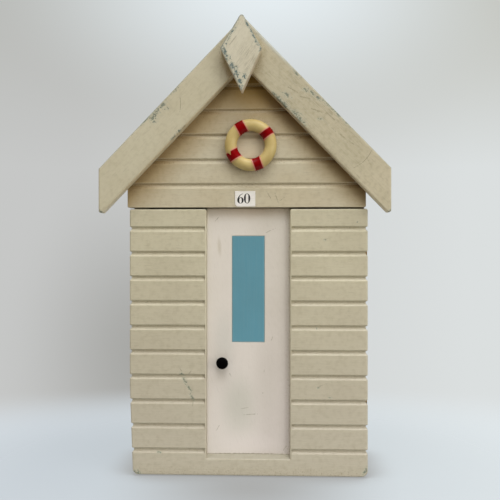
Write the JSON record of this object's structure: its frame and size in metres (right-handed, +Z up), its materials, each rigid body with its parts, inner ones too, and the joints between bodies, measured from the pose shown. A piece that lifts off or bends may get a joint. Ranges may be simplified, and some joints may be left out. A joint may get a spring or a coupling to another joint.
{
  "type": "beach hut cabinet",
  "caption": "Small painted wooden beach hut made as a shallow cabinet: boarded walls, steep gabled roof with barge boards and a diamond finial, lifebuoy, and a hinged boarded front.",
  "frame": {"origin": "middle of the underside of the base board, on the surface the hut stands on", "axes": "+Z up to the ridge, +X to the right across the front, +Y back from the boarded front to the plain back"},
  "size_m": [0.1875, 0.092, 0.2972],
  "materials": {
    "stone_paint": "stone-coloured satin paint on wood",
    "white_paint": "off-white satin paint on wood",
    "blue_paint": "blue-grey painted pane",
    "cream_gloss": "cream gloss on cast resin",
    "red_gloss": "red gloss paint",
    "card": "plain white card",
    "black_knob": "black gloss lacquer on turned wood",
    "hinge_brass": "plain brass"
  },
  "bodies": {
    "hut": {"base_board": "stone_paint", "left_wall": "stone_paint", "right_wall": "stone_paint", "back_board": "stone_paint", "front_gable": "stone_paint", "left_roof_board": "stone_paint", "right_roof_board": "stone_paint", "left_barge_board": "stone_paint", "right_barge_board": "stone_paint", "diamond_finial": "stone_paint", "lifebuoy_ring": "cream_gloss", "lifebuoy_band_upper_right": "red_gloss", "lifebuoy_band_upper_left": "red_gloss", "lifebuoy_band_lower_left": "red_gloss", "lifebuoy_band_lower_right": "red_gloss", "number_card": "card", "lower_hinge_wall_leaf": "hinge_brass", "upper_hinge_wall_leaf": "hinge_brass"},
    "door": {"door_surround": "stone_paint", "door_panel": "white_paint", "window_pane": "blue_paint", "door_knob": "black_knob", "lower_hinge_door_leaf": "hinge_brass", "upper_hinge_door_leaf": "hinge_brass"}
  },
  "joints": [
    {"name": "door_hinge", "type": "hinge", "parent": "hut", "child": "door", "pos_m": [0.0763, -0.0305, 0.087], "axis": [0, 0, 1], "range_deg": [0, 90]}
  ]
}
